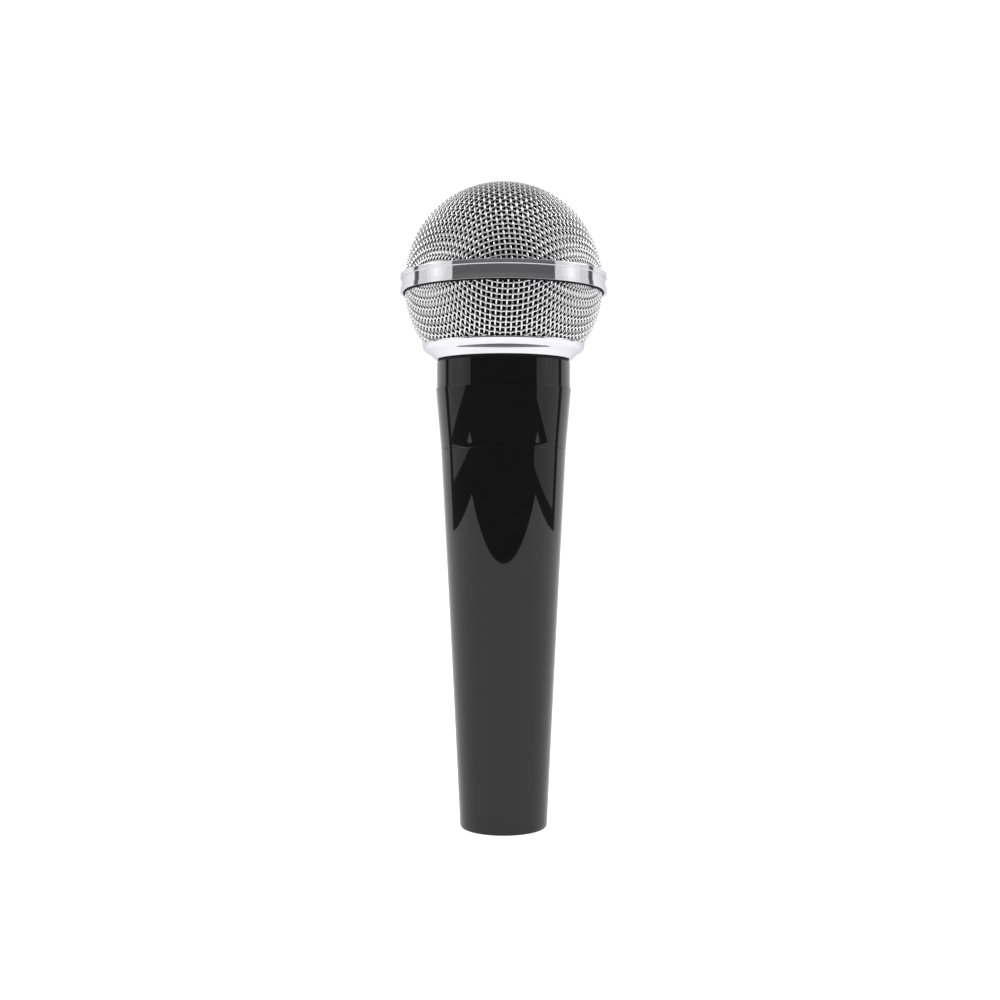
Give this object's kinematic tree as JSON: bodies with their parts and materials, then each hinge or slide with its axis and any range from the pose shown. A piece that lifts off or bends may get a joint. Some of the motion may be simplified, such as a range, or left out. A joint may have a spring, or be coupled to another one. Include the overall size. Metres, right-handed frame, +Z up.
{
  "type": "handheld dynamic microphone",
  "caption": "Handheld vocal microphone: woven-wire ball grille with bright band and collar that unscrews from a tapered black handle; floating capsule inside and a pin socket in its base.",
  "frame": {"origin": "centre of the rim of the socket end, on which the microphone stands upright", "axes": "+Z up the microphone's axis to the top of the ball grille; -Y is the front, towards the viewer; +X to the viewer's right"},
  "size_m": [0.0508, 0.0508, 0.1583],
  "materials": {
    "handle_lacquer": "gloss",
    "chrome_trim": "polished",
    "wire_mesh": "polished wire",
    "steel": "satin",
    "foam": "matte",
    "rubber": "matte",
    "dark_plastic": "satin",
    "bobbin_plastic": "satin",
    "felt": "matte",
    "clear_film": "gloss",
    "copper_wire": "gloss",
    "brass": "satin",
    "magnet_metal": "satin",
    "board": "matte",
    "contact_metal": "polished",
    "red_cover": "satin",
    "white_cover": "satin",
    "yellow_cover": "satin"
  },
  "bodies": {
    "handle": {"head_sleeve": "handle_lacquer", "upper_handle": "handle_lacquer", "lower_handle": "handle_lacquer", "shock_mount": "rubber", "transformer_core": "steel", "transformer_bobbin": "bobbin_plastic", "transformer_winding": "copper_wire", "cradle_lower": "rubber", "cradle_upper": "rubber", "xlr_insert": "dark_plastic", "xlr_pin_1": "contact_metal", "xlr_pin_2": "contact_metal", "xlr_pin_3": "contact_metal", "xlr_ground_clip": "brass", "xlr_lock_screw": "steel", "capsule_lead_1": "yellow_cover", "capsule_lead_2": "red_cover", "xlr_lead_1": "white_cover", "xlr_lead_2": "red_cover", "xlr_lead_3": "yellow_cover"},
    "washer": {"seat_washer": "rubber"},
    "grille": {"grille_dome": "wire_mesh", "grille_cup": "wire_mesh", "grille_band": "chrome_trim", "mesh_hoop": "steel", "grille_collar": "chrome_trim", "foam_dome": "foam", "foam_strip": "foam"},
    "capsule": {"capsule_housing": "dark_plastic", "capsule_cap": "dark_plastic", "capsule_screen": "wire_mesh", "diaphragm_ring": "brass", "yoke_cup": "steel", "magnet": "magnet_metal", "pole_piece": "steel", "damping_disc": "felt", "rear_chamber": "dark_plastic", "terminal_board": "board", "terminal_lug_1": "contact_metal", "terminal_lug_2": "contact_metal"},
    "moving_system": {"diaphragm": "clear_film", "voice_coil": "copper_wire"}
  },
  "joints": [
    {"name": "grille_lift", "type": "slide", "parent": "handle", "child": "washer", "axis": [0, 0, 1], "range_m": [0, 0.0046]},
    {"name": "grille_unscrew", "type": "hinge", "parent": "washer", "child": "grille", "pos_m": [0, 0, 0.1172], "axis": [0, 0, 1], "range_deg": [0, 1080]},
    {"name": "capsule_float", "type": "slide", "parent": "handle", "child": "capsule", "axis": [0, 0, 1], "range_m": [-0.0007, 0.0007], "stiffness_N_per_m": 3000, "deforming": ["shock_mount"]},
    {"name": "diaphragm_travel", "type": "slide", "parent": "capsule", "child": "moving_system", "axis": [0, 0, 1], "range_m": [-0.0003, 0.0003], "stiffness_N_per_m": 400}
  ],
  "couplings": [
    {"joint": "grille_lift", "follows": "grille_unscrew", "m_per_rad": 0.00023873}
  ]
}
